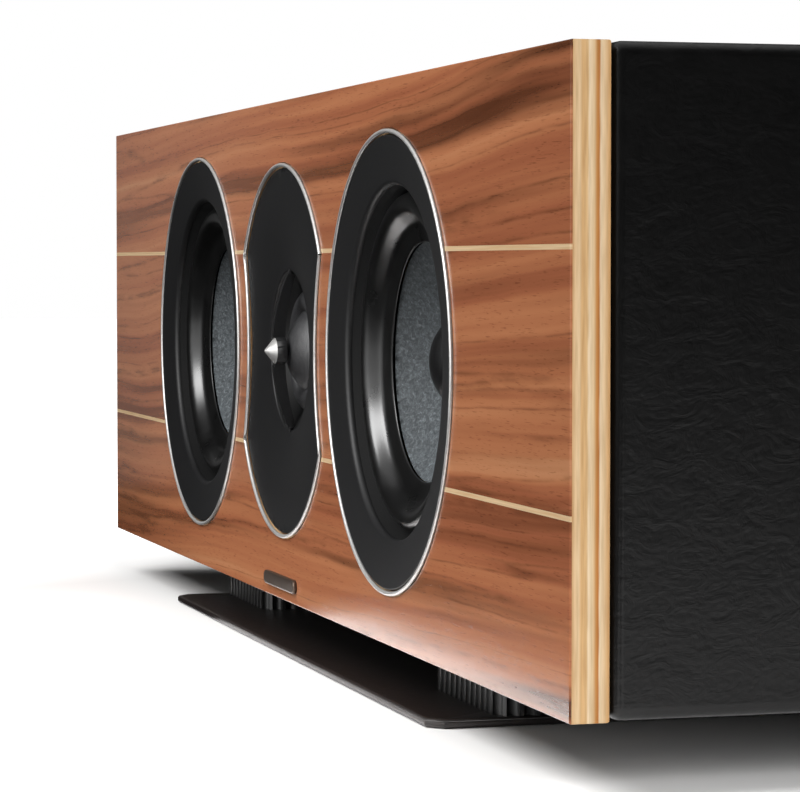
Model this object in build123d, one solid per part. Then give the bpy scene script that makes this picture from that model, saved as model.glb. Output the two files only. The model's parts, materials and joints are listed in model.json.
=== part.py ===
from build123d import *
import os
from math import cos, pi, radians, sin

# A centre channel loudspeaker on a low stand: a long leather-wrapped cabinet, a veneered plywood
# front with two maple lines, two cone woofers, and a dome tweeter in a waisted plate between them.
# Millimetres. +X is the listener's right, -Y is the front, +Z is up. The origin is in the middle
# of the stand's underside. Depths run backwards from the veneered face.

# Front panel
PANEL_W = 650.0
PANEL_H = 182.0
PLY_T = 11.0
VENEER_T = 0.6
VENEER_EASE = 0.4
PLY_EASE = 1.0
INLAY_W = 1.5
INLAY_Z = 36.2

# Cabinet behind the panel
CABINET_D = 226.0
BOARD_T = 15.0
WRAP_T = 1.0
EDGE_R = 4.0

# Stand
STAND_PLATE_W = 384.0
STAND_PLATE_D = 170.0
STAND_PLATE_T = 3.0
STAND_CORNER = 5.0
STAND_EDGE_R = 1.2
PILLAR_W = 72.0
PILLAR_D = 120.0
PILLAR_H = 17.5
PILLAR_SETBACK = 22.0
PILLAR_R = 8.0
FLUTE_PITCH = 5.5
FLUTE_R = 2.1
STAND_SCREW_INSET = 26.0
STAND_SCREW_BITE = 12.0

# Plain bar low on the front
BADGE_W = 46.0
BADGE_H = 5.0
BADGE_T = 1.6
BADGE_RISE = 6.5

# Woofers, each worked out from its own axis
WOOFER_X = 142.5
TRIM_R = 75.0
TRIM_W = 1.6
TRIM_SEAT = 1.6
TRIM_PROUD = 1.2
TRIM_SHOULDER = 0.5
LIP_R = 57.0
LIP_ROUND = 2.0
DRESS_RIM_PROUD = 0.5
DRESS_LIP_DEPTH = 1.8
DRESS_GAP = 0.5
DRESS_BEVEL = 0.3
FLANGE_FRONT = 4.0
FLANGE_T = 4.0
NECK_WALL = 2.5
SEAT_DEPTH = 13.2
SEAT_W = 4.0
SEAT_T = 2.8
ROLL_R = 4.0
ROLL_RISE = 7.8
ROLL_TURN = 58.0
ROLL_FALL = 3.0
ROLL_HOLLOW_R = 4.0
ROLL_EASE = 14.0
ROLL_T = 0.8
GLUE_W = 1.8
CONE_DEPTH = 14.0
CONE_R = 38.8
CONE_T = 0.7
CONE_SAG = 2.2
CONE_LAP = 0.6
COIL_R = 12.9
FORMER_T = 0.2
WINDING_T = 0.5
WINDING_L = 10.0
NECK_DEPTH = 29.0
CAP_R = 17.0
CAP_H = 12.0
CAP_T = 0.5
SPIDER_DEPTH = 37.5
SPIDER_R = 36.0
SPIDER_T = 0.5
SPIDER_WAVE = 1.2
SPIDER_WAVES = 5
BASKET_DEPTH = 50.0
BASKET_BACK_R = 41.0
BASKET_BACK_T = 3.0
BASKET_WALL = 4.0
SPIDER_SHELF_W = 5.5
SPIDER_SHELF_T = 3.0
BASKET_WINDOWS = 6
WINDOW_ARC = 38.0
WINDOW_RIM = 3.0
TOP_PLATE_R = 40.0
TOP_PLATE_T = 5.0
MAGNET_R = 43.0
MAGNET_BORE_R = 18.0
MAGNET_T = 15.0
YOKE_T = 6.0
POLE_VENT_R = 4.0
COIL_GAP = 0.4
WOOFER_SCREWS = 6
WOOFER_SCREW_R = 66.5

# Tweeter, worked out from its own axis
PLATE_R = 68.5
WAIST_GAP = 15.6
PLATE_TRIM_W = 1.7
PLATE_GAP = 0.4
PLATE_T = 9.0
PLATE_RIM_DEPTH = 0.4
DISH_R = 43.0
DISH_DEPTH = 1.2
MOUTH_R = 29.0
MOUTH_DEPTH = 3.0
MOUTH_ROUND = 0.8
THROAT_R = 21.5
DOME_R = 14.5
DOME_DEPTH = 1.9
DOME_T = 0.3
DOME_ROLL_H = 2.0
DOME_GLUE_W = 2.5
BRIDGE_T = 2.2
BRIDGE_BOW = 3.6
BRIDGE_DOME_GAP = 0.9
BRIDGE_D = 2.8
BOSS_R = 5.2
TIP_R = 4.85
TIP_DEPTH = 2.5
TIP_L = 3.8
TIP_END_R = 0.4
TWEETER_COIL_L = 5.0
TWEETER_COIL_T = 0.35
TWEETER_COIL_GAP = 0.35
TWEETER_TOP_R = 36.0
TWEETER_TOP_T = 4.0
TWEETER_MAGNET_BORE_R = 18.5
TWEETER_MAGNET_T = 8.0
TWEETER_YOKE_T = 4.0
TWEETER_SCREW_X = 46.0
TWEETER_SCREW_Z = 30.0
MOTOR_CLEAR = 1.0

# Rear: connection plate, binding posts and port
TERMINAL_W = 96.0
TERMINAL_H = 64.0
TERMINAL_T = 4.0
TERMINAL_R = 8.0
TERMINAL_HOLE_W = 66.0
TERMINAL_HOLE_H = 34.0
TERMINAL_SCREW_INSET = 7.0
POST_PITCH = 38.0
STUD_R = 3.0
STUD_TAIL = 14.0
SOCKET_R = 2.05
SOCKET_L = 18.0
COLLAR_R = 7.5
COLLAR_T = 4.0
WASHER_R = 7.0
WASHER_T = 1.2
KNOB_R = 8.0
KNOB_L = 17.5
KNOB_GRIPS = 12
KNOB_GRIP_R = 1.1
NUT_FLATS = 10.0
NUT_T = 4.0
STACK_GAP = 0.1
PORT_X = -150.0
PORT_R = 22.0
PORT_WALL = 2.5
PORT_L = 120.0
PORT_FLARE = 10.0
PORT_FLANGE_T = 3.0

# Crossover on the floor of the cabinet
XO_W = 150.0
XO_D = 80.0
XO_T = 1.6
XO_BACK_GAP = 18.0
XO_COIL_R = 19.0
XO_COIL_BORE_R = 9.0
XO_COIL_H = 16.0
XO_COIL_PITCH = 52.0
XO_CAP_R = 9.0
XO_CAP_L = 36.0
XO_CAP_PITCH = 44.0
XO_ROW_GAP = 20.0

# Screws and fits
SCREW_R = 1.8
SCREW_HEAD_R = 3.6
SCREW_HEAD_T = 2.0
SCREW_L = 20.0
FIT = 0.2
RUN_FIT = 0.06
GLUE_GAP = 0.3
HOLE_FIT = 0.05
PAST = 5.0

# Places that follow from the sizes above
FACE_Y = -STAND_PLATE_D / 2
STAND_H = STAND_PLATE_T + PILLAR_H
AXIS_Z = STAND_H + PANEL_H / 2
CABINET_FRONT = VENEER_T + PLY_T
CABINET_BACK = CABINET_FRONT + CABINET_D
INNER_W = PANEL_W - 2 * (WRAP_T + BOARD_T)
INNER_H = PANEL_H - 2 * (WRAP_T + BOARD_T)
INNER_BAFFLE_BACK = CABINET_FRONT + BOARD_T
REAR_Y = FACE_Y + CABINET_BACK
FLANGE_R = TRIM_R - TRIM_W
FLANGE_BACK = FLANGE_FRONT + FLANGE_T
BASKET_R = LIP_R + NECK_WALL
SEAT_R = LIP_R - SEAT_W
WAIST_R = TRIM_R + WAIST_GAP
TWEETER_BACK = PLATE_T + DOME_T
MOTOR_HOLE_R = TWEETER_TOP_R + MOTOR_CLEAR
XO_Z = STAND_H + WRAP_T + BOARD_T
XO_MID_DEPTH = CABINET_BACK - BOARD_T - XO_BACK_GAP - XO_D / 2
PILLAR_X = (STAND_PLATE_W - PILLAR_W) / 2
PILLAR_MID_DEPTH = PILLAR_SETBACK + PILLAR_D / 2
PILLAR_SPOTS = [(side * PILLAR_X, PILLAR_MID_DEPTH) for side in (-1, 1)]
SIDES = {"left": -WOOFER_X, "right": WOOFER_X}
POSTS = {"red": -POST_PITCH / 2, "black": POST_PITCH / 2}


def save(node, *solids):
    """Writes one node, given as one solid or a group of them."""
    export_step(Compound(children=list(solids)) if len(solids) > 1 else solids[0], f"parts/{node}.step")


def block(width, depth, height, x, front, z):
    """A box by its middle in X and Z and by the depth of its front face."""
    return Pos(x, FACE_Y + front + depth / 2, z) * Box(width, depth, height)


def turned(profile, arc=360.0):
    """A solid of revolution about a driver's axis, from a closed (radius, depth) outline."""
    return revolve(make_face(profile), Axis.Y, arc)


def ring(inner, outer, front, back):
    """A plain ring or, with no inner radius, a plain disc."""
    return turned(Polyline((inner, front), (outer, front), (outer, back), (inner, back), close=True))


def on_axis(solid, x):
    """Puts a solid turned about the local Y axis on the panel's middle line."""
    return Pos(x, FACE_Y, AXIS_Z) * solid


def flat(sketch, front, back):
    """Raises a sketch, drawn as the panel is seen from the front, between two depths."""
    return Rot(90, 0, 0) * extrude(Pos(0, 0, -back) * sketch, back - front)


def upright(sketch, bottom, top):
    """Raises a sketch, drawn as seen from above, between two heights."""
    return extrude(Pos(0, 0, bottom) * sketch, top - bottom)


def countersunk_screw(length):
    """A countersunk screw along local +Y, its head's face at zero."""
    return turned(Polyline(
        (0, 0), (SCREW_HEAD_R, 0), (SCREW_R, SCREW_HEAD_T), (SCREW_R, length - SCREW_R),
        (0, length), close=True))


def countersunk_hole(length):
    """The room that such a screw needs."""
    return turned(Polyline(
        (0, 0), (SCREW_HEAD_R + HOLE_FIT, 0), (SCREW_R + HOLE_FIT, SCREW_HEAD_T),
        (SCREW_R + HOLE_FIT, length + HOLE_FIT), (0, length + HOLE_FIT), close=True))


def pan_screw():
    """A pan-head screw along local +Y, with its head before zero."""
    head = ring(0, SCREW_HEAD_R, -SCREW_HEAD_T, 0)
    head = fillet(head.edges().sort_by(Axis.Y)[0], SCREW_HEAD_T / 2)
    return head + ring(0, SCREW_R, 0, SCREW_L)


def pan_hole():
    """The room for such a screw's shank."""
    return ring(0, SCREW_R + HOLE_FIT, 0, SCREW_L + HOLE_FIT)


def woofer_screw_spots():
    """Places of one woofer's screws, as seen from the front."""
    turns = [radians(360 / WOOFER_SCREWS * i) for i in range(WOOFER_SCREWS)]
    return [(WOOFER_SCREW_R * cos(a), WOOFER_SCREW_R * sin(a)) for a in turns]


def tweeter_screw_spots():
    """Places of the tweeter's screws, which come from behind."""
    return [(x * TWEETER_SCREW_X, z * TWEETER_SCREW_Z) for x in (-1, 1) for z in (-1, 1)]


def terminal_screw_spots():
    """Places of the connection plate's screws."""
    x = TERMINAL_W / 2 - TERMINAL_SCREW_INSET
    z = TERMINAL_H / 2 - TERMINAL_SCREW_INSET
    return [(i * x, j * z) for i in (-1, 1) for j in (-1, 1)]


def stand_screw_spots():
    """Places of the stand's screws, as (x, depth)."""
    reach = PILLAR_D / 2 - STAND_SCREW_INSET
    return [(x, depth + end * reach) for x, depth in PILLAR_SPOTS for end in (-1, 1)]


def waisted(inset):
    """The tweeter plate's outline: a disc with a hollow side towards each woofer."""
    hollow = Circle(WAIST_R + inset)
    return Circle(PLATE_R - inset) - Pos(-WOOFER_X, 0) * hollow - Pos(WOOFER_X, 0) * hollow


def on_panel(solid):
    """Puts a solid made by flat() at the height of the panel's middle."""
    return Pos(0, FACE_Y, AXIS_Z) * solid


def stand_screw(length, shape):
    """One of the stand's screws or its room, standing on its head."""
    return Rot(90, 0, 0) * shape(length)


def make_stand():
    """The steel foot plate, its two fluted pillars and the screws up into the cabinet."""
    screw_l = STAND_H + WRAP_T + STAND_SCREW_BITE
    spots = [Pos(x, FACE_Y + depth, 0) for x, depth in stand_screw_spots()]
    room = [spot * stand_screw(screw_l, countersunk_hole) for spot in spots]
    outline = chamfer(Rectangle(STAND_PLATE_W, STAND_PLATE_D).vertices(), STAND_CORNER)
    plate = upright(outline, 0, STAND_PLATE_T)
    rims = plate.edges().filter_by(Plane.XY)
    save("stand_plate", fillet(rims, STAND_EDGE_R) - room)

    footprint = RectangleRounded(PILLAR_W, PILLAR_D, PILLAR_R)
    rim = footprint.wire()
    flutes = round(rim.length / FLUTE_PITCH)
    cuts = [Pos(rim @ (i / flutes)) * Circle(FLUTE_R) for i in range(flutes)]
    pillar = upright(footprint - cuts, STAND_PLATE_T, STAND_H)
    for side, (x, depth) in zip(("left", "right"), PILLAR_SPOTS):
        save(f"stand_pillar_{side}", Pos(x, FACE_Y + depth, 0) * pillar - room)
    save("stand_screws", *[spot * stand_screw(screw_l, countersunk_screw) for spot in spots])
    return room


def make_cabinet(stand_room):
    """Four boards, the inner front and the back, with the leather drawn round the boards."""
    middle = Pos(0, FACE_Y + CABINET_FRONT + CABINET_D / 2, AXIS_Z)
    outer = Box(PANEL_W, CABINET_D, PANEL_H)
    core = Box(PANEL_W - 2 * WRAP_T, CABINET_D - 2 * WRAP_T, PANEL_H - 2 * WRAP_T)
    outer = middle * fillet(outer.edges(), EDGE_R)
    core = middle * fillet(core.edges(), EDGE_R - WRAP_T)
    bay = middle * Box(INNER_W, CABINET_D + PAST, INNER_H)
    save("leather_wrap", outer - core - bay - stand_room)

    wide = middle * Box(PANEL_W + PAST, CABINET_D + PAST, INNER_H)
    boards = core - wide
    save("cabinet_top", boards.solids().sort_by(Axis.Z)[-1])
    save("cabinet_bottom", boards.solids().sort_by(Axis.Z)[0] - stand_room)
    ends = (core & wide) - bay
    for node, end in zip(("cabinet_left_end", "cabinet_right_end"), ends.solids().sort_by(Axis.X)):
        save(node, end)

    inner = block(INNER_W, BOARD_T, INNER_H, 0, CABINET_FRONT, AXIS_Z)
    save("inner_baffle", inner - baffle_holes())

    back = block(INNER_W, BOARD_T, INNER_H, 0, CABINET_BACK - BOARD_T, AXIS_Z)
    back -= block(TERMINAL_HOLE_W, BOARD_T, TERMINAL_HOLE_H, 0, CABINET_BACK - BOARD_T, AXIS_Z)
    back -= on_axis(ring(0, PORT_R + PORT_WALL + FIT, CABINET_BACK - BOARD_T, CABINET_BACK), PORT_X)
    save("rear_panel", back - [spot * pan_hole() for spot in terminal_screws()])


def baffle_holes():
    """What both front layers are cut away for: woofer baskets, tweeter motor and screws."""
    through = CABINET_FRONT + BOARD_T
    cuts = [on_axis(ring(0, MOTOR_HOLE_R, 0, through), 0)]
    for x in SIDES.values():
        cuts.append(on_axis(ring(0, BASKET_R + FIT, 0, through), x))
    cuts += [spot * countersunk_hole(SCREW_L) for spot in woofer_screws()]
    cuts += [spot * pan_hole() for spot in tweeter_screws()]
    return cuts


def woofer_screws():
    """Seats of the woofer screws, flush with the frames' flanges."""
    return [Pos(x + u, FACE_Y + FLANGE_FRONT, AXIS_Z + v)
            for x in SIDES.values() for u, v in woofer_screw_spots()]


def tweeter_screws():
    """Seats of the tweeter's screws on the back of the inner baffle, pointing forwards."""
    return [Pos(u, FACE_Y + INNER_BAFFLE_BACK, AXIS_Z + v) * Rot(180, 0, 0)
            for u, v in tweeter_screw_spots()]


def terminal_screws():
    """Seats of the connection plate's screws, pointing forwards into the back panel."""
    return [Pos(u, REAR_Y + TERMINAL_T, AXIS_Z + v) * Rot(180, 0, 0)
            for u, v in terminal_screw_spots()]


def make_front():
    """Plywood panel, walnut veneer, maple lines and the plain bar below the tweeter."""
    seats = [flat(waisted(-FIT), 0, TRIM_SEAT), flat(waisted(PLATE_TRIM_W - FIT), 0, PLATE_T)]
    cuts = [on_panel(seat) for seat in seats]
    for x in SIDES.values():
        cuts.append(on_axis(ring(0, TRIM_R + FIT, 0, TRIM_SEAT), x))
        cuts.append(on_axis(ring(0, FLANGE_R + FIT, 0, FLANGE_BACK), x))

    ply = block(PANEL_W, PLY_T, PANEL_H, 0, VENEER_T, AXIS_Z)
    ply = fillet(ply.faces().sort_by(Axis.Y)[-1].edges(), PLY_EASE)
    save("front_panel", ply - cuts - baffle_holes())

    sheet = block(PANEL_W, VENEER_T, PANEL_H, 0, 0, AXIS_Z)
    sheet = fillet(sheet.faces().sort_by(Axis.Y)[0].edges(), VENEER_EASE) - cuts
    lines = [block(PANEL_W, VENEER_T, INLAY_W, 0, 0, AXIS_Z + side * INLAY_Z) for side in (-1, 1)]
    save("walnut_veneer", *(sheet - lines).solids())
    save("maple_lines", *[piece for line in lines for piece in (sheet & line).solids()])

    bar = flat(SlotOverall(BADGE_W, BADGE_H), -BADGE_T, 0)
    bar = fillet(bar.faces().sort_by(Axis.Y)[0].edges(), BADGE_T / 2)
    save("front_bar", Pos(0, FACE_Y, STAND_H + BADGE_RISE) * bar)


def trim_section(inner, outer):
    """A rounded bead standing in the front panel, as a closed outline."""
    crest = (inner + outer) / 2
    outline = Polyline((inner, -TRIM_SHOULDER), (inner, TRIM_SEAT), (outer, TRIM_SEAT),
                       (outer, -TRIM_SHOULDER))
    return outline + ThreePointArc((outer, -TRIM_SHOULDER), (crest, -TRIM_PROUD), (inner, -TRIM_SHOULDER))


def woofer_dress_ring():
    """The black ring that slopes in from the trim and rolls over into the bowl."""
    outer = FLANGE_R - DRESS_GAP
    solid = turned(Polyline(
        (outer, FLANGE_FRONT), (outer, DRESS_BEVEL - DRESS_RIM_PROUD),
        (outer - DRESS_BEVEL, -DRESS_RIM_PROUD), (LIP_R, DRESS_LIP_DEPTH), (LIP_R, FLANGE_FRONT),
        close=True))
    bores = [e for e in solid.edges().filter_by(GeomType.CIRCLE) if abs(e.radius - LIP_R) < FIT]
    return fillet(ShapeList(bores).sort_by(Axis.Y)[0], LIP_ROUND)


def woofer_frame():
    """The cast frame: flange, neck, seat for the surround, open basket, spider shelf and back ring."""
    shelf_depth = SPIDER_DEPTH + SPIDER_T
    back_in = BASKET_DEPTH - BASKET_BACK_T
    seat_back = SEAT_DEPTH + SEAT_T
    slope = (BASKET_R - BASKET_BACK_R) / (back_in - seat_back)
    shelf_r = BASKET_R - BASKET_WALL - slope * (shelf_depth - seat_back)
    shelf_in = SPIDER_R - SPIDER_SHELF_W
    low_r = shelf_r - slope * (back_in - shelf_depth)
    solid = turned(Polyline(
        (LIP_R, FLANGE_FRONT), (FLANGE_R, FLANGE_FRONT), (FLANGE_R, FLANGE_BACK),
        (BASKET_R, FLANGE_BACK), (BASKET_R, seat_back), (BASKET_BACK_R, back_in),
        (BASKET_BACK_R, BASKET_DEPTH), (MAGNET_BORE_R, BASKET_DEPTH), (MAGNET_BORE_R, back_in),
        (low_r, back_in), (low_r, shelf_depth + SPIDER_SHELF_T),
        (shelf_in, shelf_depth + SPIDER_SHELF_T), (shelf_in, shelf_depth), (shelf_r, shelf_depth),
        (BASKET_R - BASKET_WALL, seat_back), (SEAT_R, seat_back), (SEAT_R, SEAT_DEPTH),
        (LIP_R, SEAT_DEPTH), close=True))
    low = shelf_depth - WINDOW_RIM
    high = seat_back + WINDOW_RIM
    gap = Polyline((SPIDER_R, high), (BASKET_R + PAST, high), (BASKET_R + PAST, low),
                   (SPIDER_R, low), close=True)
    turns = [360 / BASKET_WINDOWS * i for i in range(BASKET_WINDOWS)]
    windows = [Rot(0, turn, 0) * turned(gap, WINDOW_ARC) for turn in turns]
    holes = [Pos(u, FLANGE_FRONT, v) * countersunk_hole(SCREW_L) for u, v in woofer_screw_spots()]
    return solid - windows - holes


def woofer_surround():
    """The rubber roll: a round crest, a steep fall, a hollow and a gentle lip on the cone."""
    wall = LIP_R - FIT - GLUE_W
    crest = wall - ROLL_R
    seat = SEAT_DEPTH - ROLL_T
    bend = SEAT_DEPTH - ROLL_RISE + ROLL_R
    steep = radians(ROLL_TURN)
    gentle = radians(ROLL_EASE)
    inwards = Vector(-cos(steep), sin(steep))
    leave = Vector(crest - ROLL_R * sin(steep), bend - ROLL_R * cos(steep))
    foot = leave + inwards * ROLL_FALL
    ease = foot + Vector(sin(gentle) - sin(steep), cos(gentle) - cos(steep)) * ROLL_HOLLOW_R
    lap = (CONE_R - CONE_LAP, CONE_DEPTH - GLUE_GAP - ROLL_T)
    front = Polyline((wall + GLUE_W, seat), (wall, seat), (wall, bend))
    front += ThreePointArc((wall, bend), (crest, bend - ROLL_R), leave)
    front += Line(leave, foot) + TangentArc(foot, ease, tangent=inwards) + Line(ease, lap)
    skin = Wire(front.edges())
    return turned(skin.offset_2d(ROLL_T, kind=Kind.INTERSECTION, side=Side.RIGHT))


def cone_front(r):
    """Depth of the cone's front face at a radius: a straight fall with a little sag."""
    share = (CONE_R - r) / (CONE_R - COIL_R)
    return CONE_DEPTH + (NECK_DEPTH - CONE_DEPTH) * share + CONE_SAG * 4 * share * (1 - share)


def woofer_cone():
    """The paper cone, a thin curved shell from the surround down to the coil former."""
    neck = COIL_R + FORMER_T
    middle = (CONE_R + neck) / 2
    path = ThreePointArc((CONE_R, CONE_DEPTH), (middle, cone_front(middle)), (neck, NECK_DEPTH))
    path += Line((neck, NECK_DEPTH), (neck, NECK_DEPTH + CONE_T))
    path += ThreePointArc((neck, NECK_DEPTH + CONE_T), (middle, cone_front(middle) + CONE_T),
                          (CONE_R, CONE_DEPTH + CONE_T))
    path += Line((CONE_R, CONE_DEPTH + CONE_T), (CONE_R, CONE_DEPTH))
    return turned(path)


def cap_arc(radius, rise, apex):
    """A round cap's outline from its apex on the axis out to its edge, centred on the axis."""
    half = radius / 2
    bulge = (radius * radius + rise * rise) / rise / 2
    drop = bulge - (bulge * bulge - half * half) ** 0.5
    return ThreePointArc((0, apex), (half, apex + drop), (radius, apex + rise))


def woofer_dust_cap():
    """The convex cap glued over the coil."""
    base = cone_front(CAP_R) - CAP_T - FIT
    apex = base - CAP_H
    path = cap_arc(CAP_R, CAP_H, apex) + cap_arc(CAP_R, CAP_H, apex + CAP_T)
    path += Line((CAP_R, base), (CAP_R, base + CAP_T))
    path += Line((0, apex + CAP_T), (0, apex))
    return turned(path)


def woofer_coil():
    """The coil former with its winding at the back end, level with the top plate."""
    middle = BASKET_DEPTH + TOP_PLATE_T / 2
    wound = middle - WINDING_L / 2
    end = middle + WINDING_L / 2
    bare = COIL_R + FORMER_T
    return turned(Polyline(
        (COIL_R, cone_front(COIL_R)), (bare, cone_front(COIL_R)), (bare, wound),
        (bare + WINDING_T, wound), (bare + WINDING_T, end), (COIL_R, end), close=True))


def woofer_spider():
    """The corrugated disc that centres the coil, wavy between the coil and the basket's shelf."""
    inner = COIL_R + FORMER_T + GLUE_GAP
    flat_from = SPIDER_R - SPIDER_SHELF_W
    steps = 2 * SPIDER_WAVES
    pitch = (flat_from - inner) / (steps + 1)
    crests = [(inner + pitch * (i + 0.5), SPIDER_WAVE * (-1) ** i) for i in range(steps)]
    front = [(inner, 0), *crests, (flat_from, 0), (SPIDER_R, 0)]
    face = [(r, SPIDER_DEPTH + wave) for r, wave in front]
    back = [(r, depth + SPIDER_T) for r, depth in reversed(face)]
    return turned(Polyline(*face, *back, close=True))


def make_woofer(side, x):
    """All the pieces of one woofer."""
    magnet_front = BASKET_DEPTH + TOP_PLATE_T
    yoke_front = magnet_front + MAGNET_T
    yoke_back = yoke_front + YOKE_T
    pole_r = COIL_R - COIL_GAP
    gap_r = COIL_R + FORMER_T + WINDING_T + COIL_GAP
    yoke = turned(Polyline(
        (POLE_VENT_R, BASKET_DEPTH), (pole_r, BASKET_DEPTH), (pole_r, yoke_front),
        (TOP_PLATE_R, yoke_front), (TOP_PLATE_R, yoke_back), (POLE_VENT_R, yoke_back), close=True))
    pieces = {
        "trim_ring": turned(trim_section(FLANGE_R, TRIM_R)),
        "dress_ring": woofer_dress_ring(),
        "frame": woofer_frame(),
        "surround": woofer_surround(),
        "cone": woofer_cone(),
        "dust_cap": woofer_dust_cap(),
        "voice_coil": woofer_coil(),
        "spider": woofer_spider(),
        "top_plate": ring(gap_r, TOP_PLATE_R, BASKET_DEPTH, magnet_front),
        "magnet": ring(MAGNET_BORE_R, MAGNET_R, magnet_front, yoke_front),
        "yoke": yoke,
    }
    for piece, solid in pieces.items():
        save(f"woofer_{side}_{piece}", on_axis(solid, x))


def tweeter_plate():
    """The waisted plate, shallowly dished, with the flared mouth round the dome."""
    body = flat(waisted(PLATE_TRIM_W + PLATE_GAP), 0, PLATE_T)
    path = Polyline((0, -PAST), (PLATE_R, -PAST), (PLATE_R, PLATE_RIM_DEPTH))
    rim = MOUTH_R + MOUTH_ROUND
    wall = MOUTH_DEPTH + MOUTH_ROUND
    bend = MOUTH_ROUND * (1 - sin(pi / 4))
    path += ThreePointArc((PLATE_R, PLATE_RIM_DEPTH), (DISH_R, DISH_DEPTH), (rim, MOUTH_DEPTH))
    path += ThreePointArc((rim, MOUTH_DEPTH), (MOUTH_R + bend, MOUTH_DEPTH + bend), (MOUTH_R, wall))
    path += Polyline((MOUTH_R, wall), (THROAT_R, PLATE_T), (0, PLATE_T), (0, -PAST))
    holes = [Pos(u, INNER_BAFFLE_BACK, v) * Rot(180, 0, 0) * pan_hole() for u, v in tweeter_screw_spots()]
    return body - turned(path) - holes


def tweeter_trim():
    """The bright bead round the plate: one round the disc, and one round each hollow side."""
    disc = ring(0, PLATE_R, -PAST, PAST)
    hollow = ring(0, WAIST_R, -PAST, PAST)
    bead = turned(trim_section(PLATE_R - PLATE_TRIM_W, PLATE_R))
    side = turned(trim_section(WAIST_R, WAIST_R + PLATE_TRIM_W))
    spots = [Pos(x, 0, 0) for x in SIDES.values()]
    for spot in spots:
        bead -= spot * hollow
    for spot in spots:
        bead += (spot * side) & disc
    return bead


def tweeter_dome():
    """The silk diaphragm: dome, small half roll and glued rim in one formed piece."""
    front = PLATE_T
    rim = front + DOME_T
    rise = front - DOME_DEPTH
    roll_mid = (DOME_R + THROAT_R) / 2
    path = cap_arc(DOME_R, rise, DOME_DEPTH) + cap_arc(DOME_R, rise, DOME_DEPTH + DOME_T)
    path += ThreePointArc((DOME_R, front), (roll_mid, front - DOME_ROLL_H), (THROAT_R, front))
    path += Polyline((THROAT_R, front), (THROAT_R + DOME_GLUE_W, front), (THROAT_R + DOME_GLUE_W, rim),
                     (THROAT_R, rim))
    path += ThreePointArc((THROAT_R, rim), (roll_mid, rim - DOME_ROLL_H), (DOME_R, rim))
    path += Line((0, DOME_DEPTH + DOME_T), (0, DOME_DEPTH))
    return turned(path)


def tweeter_bridge():
    """The thin bow across the mouth, with a round boss at its middle, before the dome."""
    clear = DOME_DEPTH - BRIDGE_DOME_GAP
    reach = MOUTH_R + MOUTH_ROUND
    foot = MOUTH_DEPTH + BRIDGE_D
    bow = ThreePointArc((-reach, MOUTH_DEPTH), (0, -BRIDGE_BOW), (reach, MOUTH_DEPTH))
    bow += Line((reach, MOUTH_DEPTH), (reach, foot))
    bow += ThreePointArc((reach, foot), (0, clear), (-reach, foot))
    bow += Line((-reach, foot), (-reach, MOUTH_DEPTH))
    blade = extrude(make_face(bow), BRIDGE_T / 2, both=True)
    upright_blade = Rot(0, -90, 0) * blade - ring(0, BOSS_R, -BRIDGE_BOW - PAST, -TIP_DEPTH)
    return upright_blade + ring(0, BOSS_R, -TIP_DEPTH, clear)


def make_tweeter():
    """All the pieces of the tweeter."""
    plate = tweeter_plate()
    magnet_front = TWEETER_BACK + TWEETER_TOP_T
    yoke_front = magnet_front + TWEETER_MAGNET_T
    yoke_back = yoke_front + TWEETER_YOKE_T
    coil_in = DOME_R - TWEETER_COIL_T
    pole_r = coil_in - TWEETER_COIL_GAP
    gap_r = DOME_R + TWEETER_COIL_GAP
    coil_front = TWEETER_BACK + GLUE_GAP
    yoke = turned(Polyline(
        (0, coil_front), (pole_r, coil_front), (pole_r, yoke_front), (TWEETER_TOP_R, yoke_front),
        (TWEETER_TOP_R, yoke_back), (0, yoke_back), close=True))
    tip = turned(Polyline(
        (0, -TIP_DEPTH), (TIP_R, -TIP_DEPTH), (TIP_END_R, -TIP_DEPTH - TIP_L), (0, -TIP_DEPTH - TIP_L),
        close=True))
    pieces = {
        "trim": tweeter_trim(),
        "plate": plate,
        "bridge": tweeter_bridge() - plate,
        "tip": tip,
        "dome": tweeter_dome(),
        "voice_coil": ring(coil_in, DOME_R, coil_front, coil_front + TWEETER_COIL_L),
        "top_plate": ring(gap_r, TWEETER_TOP_R, TWEETER_BACK, magnet_front),
        "magnet": ring(TWEETER_MAGNET_BORE_R, TWEETER_TOP_R, magnet_front, yoke_front),
        "yoke": yoke,
    }
    for piece, solid in pieces.items():
        save(f"tweeter_{piece}", on_axis(solid, 0))


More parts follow.
